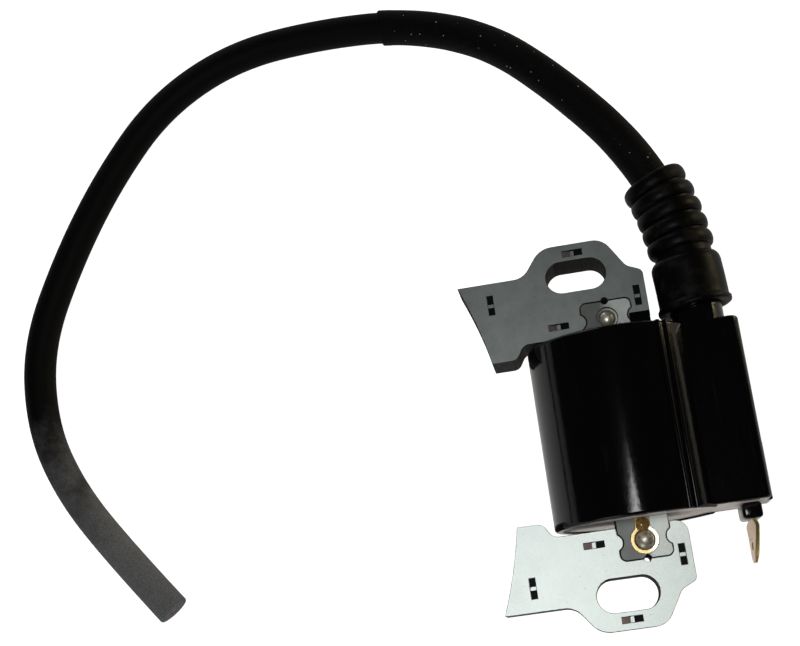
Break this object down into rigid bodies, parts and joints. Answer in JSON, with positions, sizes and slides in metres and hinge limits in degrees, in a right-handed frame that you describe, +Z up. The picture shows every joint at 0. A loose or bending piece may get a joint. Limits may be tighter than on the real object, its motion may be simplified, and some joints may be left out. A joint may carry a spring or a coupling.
{
  "type": "ignition coil",
  "caption": "Small-engine ignition coil: two slotted laminated legs on a core bar, black potted housing with side module, spade terminal, ribbed boot and bare-ended lead.",
  "frame": {"origin": "middle of the object's box on the bench it lies on, without the lead and its boot", "axes": "+X from the flywheel side to the module side, +Y along the winding towards the lead, +Z up from the bench"},
  "size_m": [0.1551, 0.1446, 0.0328],
  "materials": {
    "lamination_steel": "stamped electrical steel sheets, dull and finely grained",
    "bar_steel": "stamped electrical steel sheets, dull",
    "rivet_steel": "formed rivet head, dull with bright rubbed spots",
    "strap_metal": "tinned strip with amber varnish",
    "amber_resin": "glossy amber varnish",
    "case_plastic": "glossy black moulding",
    "potting_resin": "pale cast resin, smooth",
    "bobbin_plastic": "moulded",
    "enamelled_copper": "enamelled copper wire",
    "board_laminate": "glass epoxy laminate",
    "component_epoxy": "moulded epoxy",
    "terminal_brass": "stamped brass, slightly dull",
    "boss_plastic": "black moulding",
    "tinned_wire": "tinned wire",
    "boot_rubber": "black moulded rubber",
    "sleeve_rubber": "black sleeve with pale dust specks",
    "lead_rubber": "black lead insulation, worn matte at the free end",
    "lead_copper": "stranded copper core"
  },
  "bodies": {
    "root": {"upper_leg": "lamination_steel", "lower_leg": "lamination_steel", "core_bar": "bar_steel", "core_rivets": "rivet_steel", "ground_strap": "strap_metal", "ground_resin_bead": "amber_resin", "coil_case": "case_plastic", "potting_resin": "potting_resin", "primary_bobbin": "bobbin_plastic", "primary_winding": "enamelled_copper", "secondary_bobbin": "bobbin_plastic", "secondary_winding": "enamelled_copper", "control_board": "board_laminate", "switching_transistor": "component_epoxy", "control_chip": "component_epoxy", "chip_resistors": "component_epoxy", "timing_capacitor": "component_epoxy", "flyback_diode": "component_epoxy", "kill_terminal": "terminal_brass", "terminal_boss": "boss_plastic", "terminal_jumper": "tinned_wire", "ground_jumper": "tinned_wire", "high_voltage_pin": "terminal_brass", "high_voltage_wire": "tinned_wire", "lead_boot": "boot_rubber", "lead_sleeve": "sleeve_rubber", "high_tension_lead": "lead_rubber", "lead_conductor": "lead_copper"}
  },
  "joints": []
}
